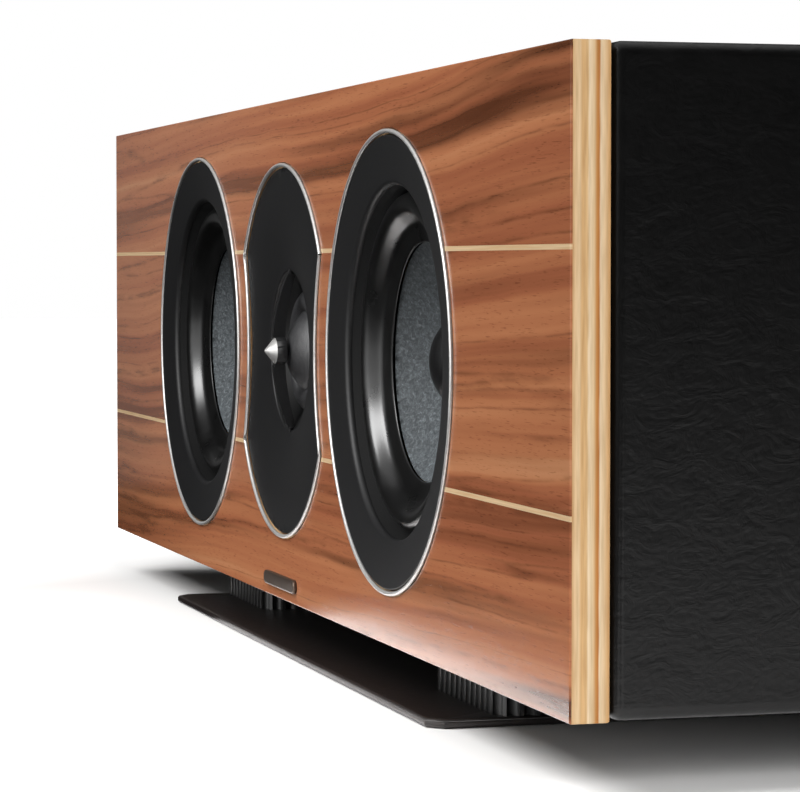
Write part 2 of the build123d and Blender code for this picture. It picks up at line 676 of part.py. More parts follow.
def make_rear():
    """Connection plate, binding posts and reflex port on the back panel."""
    outline = RectangleRounded(TERMINAL_W, TERMINAL_H, TERMINAL_R)
    plate = Pos(0, CABINET_BACK + TERMINAL_T, 0) * flat(outline, -TERMINAL_T, 0)
    plate = fillet(plate.faces().sort_by(Axis.Y)[-1].edges(), TERMINAL_T / 4)
    plate = on_panel(plate) - [spot * pan_hole() for spot in terminal_screws()]

    collar = TERMINAL_T
    washer = collar + COLLAR_T + STACK_GAP
    knob = washer + WASHER_T + STACK_GAP
    end = knob + KNOB_L - STACK_GAP
    grips = [radians(360 / KNOB_GRIPS * i) for i in range(KNOB_GRIPS)]
    bites = [Pos(KNOB_R * cos(a), KNOB_R * sin(a)) * Circle(KNOB_GRIP_R) for a in grips]
    bore = Circle(STUD_R + RUN_FIT)
    for colour, x in POSTS.items():
        spot = Pos(x, REAR_Y, AXIS_Z)
        stud = turned(Polyline(
            (0, -STUD_TAIL), (STUD_R, -STUD_TAIL), (STUD_R, collar), (COLLAR_R, collar),
            (COLLAR_R, collar + COLLAR_T), (STUD_R, collar + COLLAR_T), (STUD_R, end),
            (SOCKET_R, end), (SOCKET_R, end - SOCKET_L), (0, end - SOCKET_L), close=True))
        grip = Pos(0, knob + KNOB_L, 0) * flat(Circle(KNOB_R) - bites - bore, -KNOB_L, 0)
        save(f"post_{colour}_stud", spot * stud)
        save(f"post_{colour}_washer", spot * ring(STUD_R + RUN_FIT, WASHER_R, washer, washer + WASHER_T))
        save(f"post_{colour}_knob", spot * grip)
        plate -= spot * ring(0, STUD_R + HOLE_FIT, -PAST, TERMINAL_T + PAST)
    save("terminal_plate", plate)
    nut = flat(RegularPolygon(NUT_FLATS / 2, 6, major_radius=False) - Circle(STUD_R + HOLE_FIT), -NUT_T, 0)
    save("post_nuts", *[Pos(x, REAR_Y, AXIS_Z) * nut for x in POSTS.values()])

    wall = PORT_R + PORT_WALL
    mouth = PORT_R + PORT_FLARE
    bend = CABINET_BACK + PORT_FLANGE_T - PORT_FLARE
    middle = PORT_FLARE * (1 - sin(pi / 4))
    path = Polyline((PORT_R, bend), (PORT_R, CABINET_BACK - PORT_L), (wall, CABINET_BACK - PORT_L),
                    (wall, CABINET_BACK), (mouth + PORT_WALL, CABINET_BACK),
                    (mouth + PORT_WALL, CABINET_BACK + PORT_FLANGE_T), (mouth, CABINET_BACK + PORT_FLANGE_T))
    path += ThreePointArc((mouth, CABINET_BACK + PORT_FLANGE_T),
                          (PORT_R + middle, CABINET_BACK + PORT_FLANGE_T - middle), (PORT_R, bend))
    save("port_tube", on_axis(turned(path), PORT_X))


def make_crossover():
    """The filter board on the cabinet's floor, with its coils and capacitors."""
    board_top = XO_Z + XO_T
    spot = Pos(0, FACE_Y + XO_MID_DEPTH, 0)
    save("crossover_board", spot * upright(Rectangle(XO_W, XO_D), XO_Z, board_top))
    winding = Circle(XO_COIL_R) - Circle(XO_COIL_BORE_R)
    coil = upright(winding, board_top, board_top + XO_COIL_H)
    save("crossover_coils", *[spot * Pos(side * XO_COIL_PITCH / 2, -XO_ROW_GAP, 0) * coil for side in (-1, 1)])
    can = Pos(0, XO_ROW_GAP, board_top + XO_CAP_R) * Rot(0, 90, 0) * Cylinder(XO_CAP_R, XO_CAP_L)
    save("crossover_capacitors", *[spot * Pos(i * XO_CAP_PITCH, 0, 0) * can for i in (-1, 0, 1)])


def make_screws():
    """The wood screws: countersunk in the woofer frames, pan heads elsewhere."""
    save("woofer_screws", *[spot * countersunk_screw(SCREW_L) for spot in woofer_screws()])
    save("pan_screws", *[spot * pan_screw() for spot in tweeter_screws() + terminal_screws()])


os.makedirs("parts", exist_ok=True)
make_cabinet(make_stand())
make_front()
for woofer_side, woofer_x in SIDES.items():
    make_woofer(woofer_side, woofer_x)
make_tweeter()
make_rear()
make_crossover()
make_screws()
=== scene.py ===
# %% [markdown]
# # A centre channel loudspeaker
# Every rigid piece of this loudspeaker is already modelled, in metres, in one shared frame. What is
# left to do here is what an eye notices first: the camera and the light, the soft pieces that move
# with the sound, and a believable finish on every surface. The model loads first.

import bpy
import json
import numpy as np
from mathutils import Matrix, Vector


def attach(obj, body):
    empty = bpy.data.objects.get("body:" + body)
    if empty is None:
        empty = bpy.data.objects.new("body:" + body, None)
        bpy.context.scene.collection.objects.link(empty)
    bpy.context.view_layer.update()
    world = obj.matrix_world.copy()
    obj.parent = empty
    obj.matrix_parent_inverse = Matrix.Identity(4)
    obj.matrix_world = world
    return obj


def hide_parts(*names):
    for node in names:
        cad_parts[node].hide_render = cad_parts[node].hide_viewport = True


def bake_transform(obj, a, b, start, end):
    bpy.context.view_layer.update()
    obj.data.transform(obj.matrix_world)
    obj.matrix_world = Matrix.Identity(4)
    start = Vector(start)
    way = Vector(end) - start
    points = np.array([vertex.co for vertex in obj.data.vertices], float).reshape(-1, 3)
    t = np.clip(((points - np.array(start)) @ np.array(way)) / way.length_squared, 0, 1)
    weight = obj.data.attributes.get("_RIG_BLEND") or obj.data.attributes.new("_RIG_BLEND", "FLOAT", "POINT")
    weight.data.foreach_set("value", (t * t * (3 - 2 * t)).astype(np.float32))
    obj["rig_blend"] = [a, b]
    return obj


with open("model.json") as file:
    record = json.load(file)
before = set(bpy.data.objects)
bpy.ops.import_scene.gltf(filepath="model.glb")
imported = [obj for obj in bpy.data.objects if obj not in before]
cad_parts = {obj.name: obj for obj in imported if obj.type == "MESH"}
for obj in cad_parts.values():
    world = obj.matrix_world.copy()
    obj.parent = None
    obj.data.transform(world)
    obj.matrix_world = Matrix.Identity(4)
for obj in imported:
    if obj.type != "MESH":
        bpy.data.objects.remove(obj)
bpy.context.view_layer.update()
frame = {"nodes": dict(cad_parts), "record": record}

# %% [markdown]
# ## The camera
# The loudspeaker is seen from far round to its right, so the front is strongly foreshortened while
# the end stays almost square on. A long lens from about a metre away gives that. A camera looks
# along its own -Z, so it is turned until that axis follows the line of sight.

# %% Camera
import json
from math import cos, pi, radians, sin, sqrt

import bpy
from mathutils import Vector

CAMERA_PLACE = Vector((1.1116, -0.354, 0.1429))
CAMERA_HEADING = Vector((-0.96236, 0.27178, 0.0))
CAMERA_DIP = radians(2.4)
SENSOR_MM = 36.0
LENS_MM = 141.0

sight = CAMERA_HEADING * cos(CAMERA_DIP) - Vector((0, 0, sin(CAMERA_DIP)))
bpy.ops.object.select_all(action="DESELECT")
bpy.ops.object.camera_add(location=CAMERA_PLACE, rotation=sight.to_track_quat("-Z", "Y").to_euler())
camera = bpy.context.object
camera.data.sensor_width = SENSOR_MM
camera.data.lens = LENS_MM
bpy.context.scene.camera = camera
bpy.context.scene.view_settings.view_transform = "Standard"
print("camera at", [round(c, 3) for c in camera.location])

# %% [markdown]
# ## Two small tools for finishes
# Colours are read off as sRGB, the way a screen shows them, but a shader counts light, so one
# function turns a hex colour into linear numbers. The other adds a node to a material: its
# settings are the node's own properties, its inputs are plain values or other nodes' sockets, and
# its stops are the colours of a ramp.

# %% Colours and nodes
MM = 0.001


def linear(code):
    """An sRGB hex colour as linear RGBA."""
    parts = [int(code[i:i + 2], 16) / 255 for i in (1, 3, 5)]
    return tuple(p / 12.92 if p <= 0.04045 else ((p + 0.055) / 1.055) ** 2.4 for p in parts) + (1.0,)


def add(holder, kind, inputs=None, stops=None, **settings):
    """Adds one node to a material or a world, with its settings, links and ramp colours."""
    tree = holder.node_tree
    node = tree.nodes.new(kind)
    for name, value in settings.items():
        setattr(node, name, value)
    for name, value in (inputs or {}).items():
        if isinstance(value, bpy.types.NodeSocket):
            tree.links.new(value, node.inputs[name])
        else:
            node.inputs[name].default_value = value
    for i, (place, code) in enumerate(stops or []):
        marks = node.color_ramp.elements
        mark = marks[i] if i < 2 else marks.new(place)
        mark.position = place
        mark.color = linear(code)
    return node


print("mid grey is", [round(c, 3) for c in linear("#808080")])

# %% [markdown]
# ## The studio
# A product photographer lays a white sweep on a table and hangs a soft lamp over it. Whatever the
# camera looks at is white, while as a source of light the room is dim, so that colours come out as
# they are written. The sweep keeps the shadow: to the camera it is a pale grey under the object and
# shows its light twice over farther off, where the lamp is weaker. It sends little light back up.

# %% Floor and world
FLOOR_W = 14.0
FLOOR_DROP = 0.1 * MM
PALE_WITHIN = 0.3
BRIGHT_BEYOND = 0.6
PATCHES_PER_M = 3.0
AMBIENT = 0.03


def seen(holder):
    """One where the camera, a reflection or a refraction looks, and zero for scattered light."""
    rays = add(holder, "ShaderNodeLightPath")
    direct = add(holder, "ShaderNodeMath",
                 {0: rays.outputs["Is Camera Ray"], 1: rays.outputs["Is Glossy Ray"]}, operation="MAXIMUM")
    return add(holder, "ShaderNodeMath", {0: direct.outputs[0], 1: rays.outputs["Is Transmission Ray"]},
               operation="MAXIMUM").outputs[0]


bpy.ops.object.select_all(action="DESELECT")
bpy.ops.mesh.primitive_plane_add(size=FLOOR_W, location=(0, 0, -FLOOR_DROP))
floor = bpy.context.object
floor.name = "studio_floor"
paint = bpy.data.materials.new("matt white sweep")
paint.use_nodes = True
paint.node_tree.nodes.clear()
floor.data.materials.append(paint)
where = add(paint, "ShaderNodeTexCoord")
cloud = add(paint, "ShaderNodeTexNoise", {"Vector": where.outputs["Object"], "Scale": PATCHES_PER_M})
tone = add(paint, "ShaderNodeValToRGB", {"Fac": cloud.outputs["Fac"]}, [(0.3, "#F6F5F4"), (0.7, "#FBFAFA")])
matt = add(paint, "ShaderNodeBsdfDiffuse", {"Color": tone.outputs["Color"]})
bright = add(paint, "ShaderNodeAddShader", {0: matt.outputs[0], 1: matt.outputs[0]})
veil = add(paint, "ShaderNodeValToRGB", {"Fac": cloud.outputs["Fac"]}, [(0.3, "#E3E2E1"), (0.7, "#EAE9E8")])
pale = add(paint, "ShaderNodeBsdfDiffuse", {"Color": veil.outputs["Color"]})
reach = add(paint, "ShaderNodeVectorMath", {0: where.outputs["Object"]}, operation="LENGTH")
off = add(paint, "ShaderNodeMapRange", {"Value": reach.outputs["Value"], "From Min": PALE_WITHIN,
                                        "From Max": BRIGHT_BEYOND})
shown = add(paint, "ShaderNodeMixShader", {0: off.outputs[0], 1: pale.outputs[0], 2: bright.outputs[0]})
dull = add(paint, "ShaderNodeBsdfDiffuse", {"Color": linear("#2A2928")})
rays = add(paint, "ShaderNodeLightPath")
mirrored = add(paint, "ShaderNodeMixShader", {0: seen(paint), 1: dull.outputs[0], 2: bright.outputs[0]})
sweep = add(paint, "ShaderNodeMixShader", {0: rays.outputs["Is Camera Ray"], 1: mirrored.outputs[0],
                                           2: shown.outputs[0]})
add(paint, "ShaderNodeOutputMaterial", {"Surface": sweep.outputs[0]})

world = bpy.data.worlds.new("studio walls")
bpy.context.scene.world = world
world.use_nodes = True
world.node_tree.nodes.clear()
dim = add(world, "ShaderNodeBackground", {"Color": linear("#FFFFFF"), "Strength": AMBIENT})
white = add(world, "ShaderNodeBackground", {"Color": linear("#FFFFFF"), "Strength": 1.0})
sky = add(world, "ShaderNodeMixShader", {0: seen(world), 1: dim.outputs[0], 2: white.outputs[0]})
add(world, "ShaderNodeOutputWorld", {"Surface": sky.outputs[0]})
print("floor", FLOOR_W, "m wide, ambient", AMBIENT)

# %% [markdown]
# ## Dark cloth round the set
# Black rubber and lacquered wood would turn grey with a white room all round them. So a dark cloth
# hangs round the set and lies before it, as black flags do in a studio. It leaves a strip of white
# floor at the right, which shows as a sheen low on the lacquer, and a grey card far to the left puts
# a little haze on the far end. Only reflections see these: they cast no shadow and take no light.

# %% Dark cloth and grey card
CLOTH_R = 0.95
CLOTH_TOP = 1.5
TUFTS_PER_M = 60.0
bpy.ops.object.select_all(action="DESELECT")
bpy.ops.mesh.primitive_cylinder_add(vertices=64, radius=CLOTH_R, depth=CLOTH_TOP, end_fill_type="NOTHING",
                                    location=(0, 0, CLOTH_TOP / 2))
curtain = bpy.context.object
curtain.name = "dark_curtain"
bpy.ops.object.transform_apply(location=True, rotation=True, scale=True)
flags = [(curtain, "black duvetyn", "#0C0C0C", "#161616")]
CARDS = [
    # name, middle, size, turn about Y, material, dark tone, light tone
    ("front_card", (0.0, -0.5475, -FLOOR_DROP / 2), (1.9, 0.805), 0.0, "black baize", "#0C0C0C", "#161616"),
    ("left_card", (-0.535, -0.115, -FLOOR_DROP / 2), (0.83, 0.06), 0.0, "black baize", "#0C0C0C", "#161616"),
    ("haze_card", (-0.90, -0.12, 0.25), (0.5, 0.34), pi / 2, "grey card", "#585858", "#646464"),
]
for name, middle, (wide, deep), turn, cloth, dark, light in CARDS:
    bpy.ops.mesh.primitive_plane_add(size=1.0, location=middle, rotation=(0, turn, 0))
    card = bpy.context.object
    card.name = name
    card.scale = (wide, deep, 1.0)
    bpy.ops.object.transform_apply(location=True, rotation=True, scale=True)
    flags.append((card, cloth, dark, light))
for flag, cloth, dark, light in flags:
    felt = bpy.data.materials.new(cloth)
    felt.use_nodes = True
    where = add(felt, "ShaderNodeTexCoord")
    nap = add(felt, "ShaderNodeTexNoise",
              {"Vector": where.outputs["Object"], "Scale": TUFTS_PER_M, "Detail": 3.0})
    soot = add(felt, "ShaderNodeValToRGB", {"Fac": nap.outputs["Fac"]}, [(0.3, dark), (0.7, light)])
    shader = felt.node_tree.nodes["Principled BSDF"]
    shader.inputs["Roughness"].default_value = 1.0
    shader.inputs["Specular IOR Level"].default_value = 0.0
    felt.node_tree.links.new(soot.outputs["Color"], shader.inputs["Base Color"])
    flag.data.materials.append(felt)
    for ray in ("camera", "diffuse", "transmission", "shadow"):
        setattr(flag, f"visible_{ray}", False)
print("cloth", CLOTH_R, "m away and", CLOTH_TOP, "m high")

# %% [markdown]
# ## Lamps
# A large softbox hangs high before the loudspeaker, so the bowls of the drivers lie in shadow at
# the top and catch light at the bottom. A tall panel in front only draws highlights on what
# shines, and a weak strip on the floor gives the light that a white floor throws back onto the foot
# of the panel. Two wide suns stand for what the room sends back from above and from the right.

# %% Lamps
LAMPS = [
    # name, kind, place, aimed at, strength, width, height, lights matt surfaces, shows in shiny ones
    ("overhead_softbox", "AREA", (0.05, -0.64, 0.80), (0.0, -0.06, 0.10), 13.0, 0.90, 0.60, True, False),
    ("front_panel", "AREA", (0.35, -0.88, 0.48), (0.05, -0.05, 0.12), 28.0, 0.65, 0.85, False, True),
    ("floor_bounce", "AREA", (0.12, -0.15, 0.02), (0.12, -0.085, 0.03), 0.11, 0.70, 0.03, True, False),
    ("overhead_sky", "SUN", (0.0, 0.0, 3.0), (0.0, 0.0, 0.0), 0.6, radians(100), 0.0, True, True),
    ("right_sky", "SUN", (2.0, 0.35, 0.95), (0.0, 0.0, 0.0), 3.0, radians(36), 0.0, True, False),
]
for name, kind, place, aim, strength, width, height, on_matt, on_shiny in LAMPS:
    turn = (Vector(aim) - Vector(place)).to_track_quat("-Z", "Y").to_euler()
    bpy.ops.object.light_add(type=kind, location=place, rotation=turn)
    lamp = bpy.context.object
    lamp.name = name
    lamp.data.energy = strength
    lamp.visible_camera = False
    lamp.visible_diffuse = on_matt
    lamp.visible_glossy = on_shiny
    if kind == "AREA":
        lamp.data.shape = "RECTANGLE"
        lamp.data.size = width
        lamp.data.size_y = height
    else:
        lamp.data.angle = width
print("lamps:", [row[0] for row in LAMPS])

# %% [markdown]
# ## Starting a finish
# Each finish starts from what the real material is. Its plain values, such as roughness, go
# straight onto the shader's own sockets. Patterns read the piece's Object coordinates through a
# Mapping node whose scale is one over a real size, so a figure of 2.2 means 2.2 mm on the object.

# %% Start of a finish
finishes = {}


def start(slot, name, **values):
    """A new material for one slot, with plain values on the shader's sockets."""
    finish = bpy.data.materials.new(name)
    finish.use_nodes = True
    finishes[slot] = finish
    for socket, value in values.items():
        finish.node_tree.nodes["Principled BSDF"].inputs[socket.replace("_", " ")].default_value = value
    return finish


def sized(finish, x, y, z, shift=0.0):
    """Object coordinates in which one unit is the given number of millimetres each way."""
    where = add(finish, "ShaderNodeTexCoord")
    scale = (1 / (x * MM), 1 / (y * MM), 1 / (z * MM))
    return add(finish, "ShaderNodeMapping", {"Vector": where.outputs["Object"], "Scale": scale,
                                             "Location": (shift, shift, shift)}).outputs["Vector"]


def wear(finish, **sockets):
    """Links finished patterns to the shader's sockets."""
    shader = finish.node_tree.nodes["Principled BSDF"]
    for socket, source in sockets.items():
        finish.node_tree.links.new(source, shader.inputs[socket.replace("_", " ")])


print("finishes so far:", len(finishes))

# %% [markdown]
# ## Walnut veneer
# The front is a sheet of sliced walnut under satin lacquer. Its figure is the tree's yearly growth
# cut at a slant: long calm lines that rise a little to the listener's right, a few of them broad
# soft dark bands and some thin and broken, with short dark pores along them. So two slow noises
# first bend the height of each point, and everything else is drawn along the bent height: broad
# tones, thin lines where a noise passes one level, and dark bands where another is high.

# %% Walnut: bent height
GRAIN_CLIMB = 0.035
DRIFT = 24 * MM
RIPPLE = 3 * MM
walnut = start("walnut", "walnut veneer, satin lacquer", IOR=1.5, Specular_IOR_Level=0.25)
drift = add(walnut, "ShaderNodeTexNoise",
            {"Vector": sized(walnut, 320, 80, 150), "Scale": 1.0, "Detail": 0.5})
ripple = add(walnut, "ShaderNodeTexNoise",
             {"Vector": sized(walnut, 60, 80, 36), "Scale": 1.0, "Detail": 2.0})
place = add(walnut, "ShaderNodeTexCoord")
split = add(walnut, "ShaderNodeSeparateXYZ", {0: place.outputs["Object"]})
slant = add(walnut, "ShaderNodeMath", {0: split.outputs["X"], 1: -GRAIN_CLIMB, 2: split.outputs["Z"]},
            operation="MULTIPLY_ADD")
sway = add(walnut, "ShaderNodeMath", {0: drift.outputs["Fac"], 1: DRIFT, 2: slant.outputs[0]},
           operation="MULTIPLY_ADD")
height = add(walnut, "ShaderNodeMath", {0: ripple.outputs["Fac"], 1: RIPPLE, 2: sway.outputs[0]},
             operation="MULTIPLY_ADD")
bent = add(walnut, "ShaderNodeCombineXYZ", {"X": split.outputs["X"], "Z": height.outputs[0]})
print("grain climbs", GRAIN_CLIMB / MM, "mm in a metre")

# %% [markdown]
# ## Tones and lines of the walnut
# Broad tones about 11 mm high run for most of the panel. Over them go lines about 1 mm thick, drawn
# where a slow noise passes one of two levels and broken every few centimetres by a faster one.

# %% Walnut: tones and thin lines
TONE_L = 1.0
TONE_H = 11 * MM
LINE_L = 1.2
LINE_H = 16 * MM
grain = add(walnut, "ShaderNodeMapping", {"Vector": bent.outputs[0], "Scale": (1 / TONE_L, 1, 1 / TONE_H)})
growth = add(walnut, "ShaderNodeTexNoise", {"Vector": grain.outputs[0], "Scale": 1.0, "Detail": 4.0,
                                           "Roughness": 0.55})
ground = add(walnut, "ShaderNodeValToRGB", {"Fac": growth.outputs["Fac"]},
             [(0.28, "#7E4A30"), (0.41, "#A06042"), (0.50, "#B06F4C"), (0.60, "#BC7B55"), (0.72, "#C98E66")])
fine = add(walnut, "ShaderNodeMapping", {"Vector": bent.outputs[0], "Scale": (1 / LINE_L, 1, 1 / LINE_H),
                                         "Location": (7.3, 0, 2.9)})
level = add(walnut, "ShaderNodeTexNoise", {"Vector": fine.outputs[0], "Scale": 1.0, "Detail": 1.5})
line = add(walnut, "ShaderNodeValToRGB", {"Fac": level.outputs["Fac"]},
           [(0.415, "#000000"), (0.43, "#FFFFFF"), (0.445, "#202020"), (0.50, "#000000"), (0.54, "#404040"),
            (0.555, "#FFFFFF"), (0.57, "#000000")])
gaps = add(walnut, "ShaderNodeTexNoise",
           {"Vector": sized(walnut, 26, 80, 4, shift=3.0), "Scale": 1.0, "Detail": 3.0})
broken = add(walnut, "ShaderNodeMapRange", {"Value": gaps.outputs["Fac"], "From Min": 0.36, "From Max": 0.62,
                                            "To Min": 0.05, "To Max": 0.55})
thin = add(walnut, "ShaderNodeMath", {0: line.outputs["Color"], 1: broken.outputs[0]}, operation="MULTIPLY")
lined = add(walnut, "ShaderNodeMix", {0: thin.outputs[0], 6: ground.outputs["Color"],
                                      7: linear("#5A3420")}, data_type="RGBA")
print("tones", TONE_H, "m high, lines from a noise", LINE_H, "m high")

# %% [markdown]
# ## Dark bands and pores of the walnut
# The darkest years are bands a few millimetres thick, stronger towards the listener's right. The
# pores are short dashes along the grain. Real ones are finer than the render can show, so they are
# drawn 0.4 mm high and 5.5 mm long. They also dent the lacquer a little, which breaks up its shine.

# %% Walnut: bands and pores
BAND_L = 0.8
BAND_H = 19 * MM
LEAN_TO = 0.3
band = add(walnut, "ShaderNodeMapping", {"Vector": bent.outputs[0], "Scale": (1 / BAND_L, 1, 1 / BAND_H),
                                         "Location": (3.1, 0, 5.7)})
heart = add(walnut, "ShaderNodeTexNoise", {"Vector": band.outputs[0], "Scale": 1.0, "Detail": 3.5,
                                          "Roughness": 0.55})
dark = add(walnut, "ShaderNodeValToRGB", {"Fac": heart.outputs["Fac"]},
           [(0.33, "#C0C0C0"), (0.40, "#606060"), (0.46, "#000000"), (0.52, "#000000"), (0.56, "#A0A0A0"),
            (0.61, "#FFFFFF"), (0.70, "#B0B0B0")])
lean = add(walnut, "ShaderNodeMapRange", {"Value": split.outputs["X"], "From Min": -LEAN_TO,
                                          "From Max": LEAN_TO, "To Min": 0.5, "To Max": 0.95})
depth = add(walnut, "ShaderNodeMath", {0: dark.outputs["Color"], 1: lean.outputs[0]}, operation="MULTIPLY")
figured = add(walnut, "ShaderNodeMix", {0: depth.outputs[0], 6: lined.outputs[2],
                                        7: linear("#512D1B")}, data_type="RGBA")
pore = add(walnut, "ShaderNodeTexNoise",
           {"Vector": sized(walnut, 5.5, 5.5, 0.4), "Scale": 1.0, "Detail": 1.0})
speck = add(walnut, "ShaderNodeValToRGB", {"Fac": pore.outputs["Fac"]},
            [(0.62, "#FFFFFF"), (0.76, "#8A746A")])
wood = add(walnut, "ShaderNodeMix", {0: 0.4, 6: figured.outputs[2], 7: speck.outputs["Color"]},
           data_type="RGBA", blend_type="MULTIPLY")
rough = add(walnut, "ShaderNodeMapRange", {"Value": growth.outputs["Fac"], "To Min": 0.14, "To Max": 0.20})
dents = add(walnut, "ShaderNodeBump",
            {"Height": speck.outputs["Color"], "Strength": 0.15, "Distance": 0.1 * MM})
wear(walnut, Base_Color=wood.outputs[2], Roughness=rough.outputs[0], Normal=dents.outputs[0])
print(walnut.name, "with", len(walnut.node_tree.nodes), "nodes")

# %% [markdown]
# ## Maple lines
# Two thin strips of maple are let into the veneer. Maple is pale and close-grained, so the eye gets
# plain cream lines. A noise drawn out along the strips gives them a faint fibre and no more.

# %% Maple
maple = start("maple", "maple line, satin lacquer", Roughness=0.4, IOR=1.5, Specular_IOR_Level=0.25)
fibre = add(maple, "ShaderNodeTexNoise", {"Vector": sized(maple, 30, 5, 0.6), "Scale": 1.0, "Detail": 2.0})
cream = add(maple, "ShaderNodeValToRGB", {"Fac": fibre.outputs["Fac"]}, [(0.3, "#CBA87C"), (0.7, "#DFC49D")])
wear(maple, Base_Color=cream.outputs["Color"])
print(maple.name)

# %% [markdown]
# ## Plywood edges
# Behind the veneer the cut edge of the birch plywood shows its plies. They alternate: one shows long
# grain, the next is cut across and looks darker. Each ply could be a strip of its own, but a ramp
# along the depth paints them all, and a noise stretched along the edges gives their fibres.

# %% Plywood
FACE_Y = -85 * MM
VENEER_T = 0.6 * MM
PLY_T = 11 * MM
PLY_WAVER = 0.5 * MM
plywood = start("plywood", "birch plywood edge, clear lacquer", Roughness=0.45, IOR=1.5,
                Specular_IOR_Level=0.25)
place = add(plywood, "ShaderNodeTexCoord")
split = add(plywood, "ShaderNodeSeparateXYZ", {0: place.outputs["Object"]})
fibre = add(plywood, "ShaderNodeTexNoise",
            {"Vector": sized(plywood, 14, 0.8, 14), "Scale": 1.0, "Detail": 3.0})
waver = add(plywood, "ShaderNodeMath", {0: fibre.outputs["Fac"], 1: PLY_WAVER, 2: split.outputs["Y"]},
            operation="MULTIPLY_ADD")
depth = add(plywood, "ShaderNodeMapRange", {"Value": waver.outputs[0], "From Min": FACE_Y + VENEER_T,
                                            "From Max": FACE_Y + VENEER_T + PLY_T})
plies = add(plywood, "ShaderNodeValToRGB", {"Fac": depth.outputs[0]},
            [(0.00, "#C79A66"), (0.08, "#DFBD92"), (0.20, "#E7CAA2"), (0.27, "#D8AE7A"), (0.40, "#DCB684"),
             (0.45, "#EBD4B2"), (0.57, "#E4C69C"), (0.64, "#C68E52"), (0.70, "#B9773E"), (0.74, "#E9D1AE"),
             (0.86, "#E2C298"), (0.94, "#D6AA76")])
shade = add(plywood, "ShaderNodeValToRGB", {"Fac": fibre.outputs["Fac"]},
            [(0.25, "#DCD3C9"), (0.65, "#FFFFFF")])
edge = add(plywood, "ShaderNodeMix", {0: 0.8, 6: plies.outputs["Color"], 7: shade.outputs["Color"]},
           data_type="RGBA", blend_type="MULTIPLY")
ridges = add(plywood, "ShaderNodeBump",
             {"Height": fibre.outputs["Fac"], "Strength": 0.2, "Distance": 0.1 * MM})
wear(plywood, Base_Color=edge.outputs[2], Normal=ridges.outputs[0])
print(plywood.name, "with", len(plies.color_ramp.elements), "ply colours")

# %% [markdown]
# ## Leather
# The cabinet is wrapped in black leather with a coarse pressed grain. Leather's grain is a net of
# small rounded cells, longer one way where the hide was stretched, with a few soft wrinkles over
# it. A cell texture gives the pebbles and a slower noise the wrinkles. Both mostly bend the light,
# because the hide itself is dyed through.

# %% Leather
leather = start("leather", "black leather, pressed grain", Roughness=0.38, IOR=1.45, Specular_IOR_Level=0.25)
cells = add(leather, "ShaderNodeTexVoronoi", {"Vector": sized(leather, 2.2, 2.2, 1.6), "Scale": 1.0},
            feature="SMOOTH_F1")
folds = add(leather, "ShaderNodeTexNoise", {"Vector": sized(leather, 10, 10, 6), "Scale": 1.0, "Detail": 5.0,
                                           "Roughness": 0.6, "Distortion": 1.2})
relief = add(leather, "ShaderNodeMath", {0: folds.outputs["Fac"], 1: 4.0, 2: cells.outputs["Distance"]},
             operation="MULTIPLY_ADD")
hide = add(leather, "ShaderNodeValToRGB", {"Fac": folds.outputs["Fac"]},
           [(0.3, "#030303"), (0.75, "#090909")])
press = add(leather, "ShaderNodeBump", {"Height": relief.outputs[0], "Strength": 0.17, "Distance": 0.4 * MM})
wear(leather, Base_Color=hide.outputs["Color"], Normal=press.outputs[0])
print(leather.name)

# %% [markdown]
# ## Paper
# The cones are pressed from grey pulp, and its fibres show as pale and dark flecks. Single fibres
# are too fine to show, so flecks of 1.3 mm stand for tufts of them. A ramp of four greys gives their
# tones, and the same noise lifts the surface a little.

# %% Paper
paper = start("paper", "grey pulp paper", Roughness=0.75, IOR=1.45, Specular_IOR_Level=0.2)
flecks = add(paper, "ShaderNodeTexNoise", {"Vector": sized(paper, 1.3, 1.3, 1.3), "Scale": 1.0, "Detail": 4.0,
                                          "Roughness": 0.7, "Distortion": 0.8})
pulp = add(paper, "ShaderNodeValToRGB", {"Fac": flecks.outputs["Fac"]},
           [(0.28, "#303437"), (0.45, "#45494C"), (0.58, "#595F62"), (0.74, "#82888D")])
felting = add(paper, "ShaderNodeBump",
              {"Height": flecks.outputs["Fac"], "Strength": 0.35, "Distance": 0.15 * MM})
wear(paper, Base_Color=pulp.outputs["Color"], Normal=felting.outputs[0])
print(paper.name)

# %% [markdown]
# ## Rubber
# The rolls round the cones are moulded butyl rubber. It is black all through and leaves the mould
# with a satin skin, so nearly all that the eye gets is a soft highlight along each roll. A slow
# noise varies the gloss a little, as handling does.

# %% Rubber
rubber = start("rubber", "moulded butyl rubber", IOR=1.52, Specular_IOR_Level=0.6)
bloom = add(rubber, "ShaderNodeTexNoise", {"Vector": sized(rubber, 9, 9, 9), "Scale": 1.0, "Detail": 4.0})
soot = add(rubber, "ShaderNodeValToRGB", {"Fac": bloom.outputs["Fac"]}, [(0.3, "#080808"), (0.7, "#0F0F0F")])
satin = add(rubber, "ShaderNodeMapRange", {"Value": bloom.outputs["Fac"], "To Min": 0.24, "To Max": 0.34})
wear(rubber, Base_Color=soot.outputs["Color"], Roughness=satin.outputs[0])
print(rubber.name)

# %% [markdown]
# ## Silk
# The tweeter's dome is woven silk, stiffened with a tacky coating that leaves it dark and finely
# creased. Its threads are too fine to show, so creases of 0.7 mm stand for weave and coating
# together, and a bump turns them into small glints.

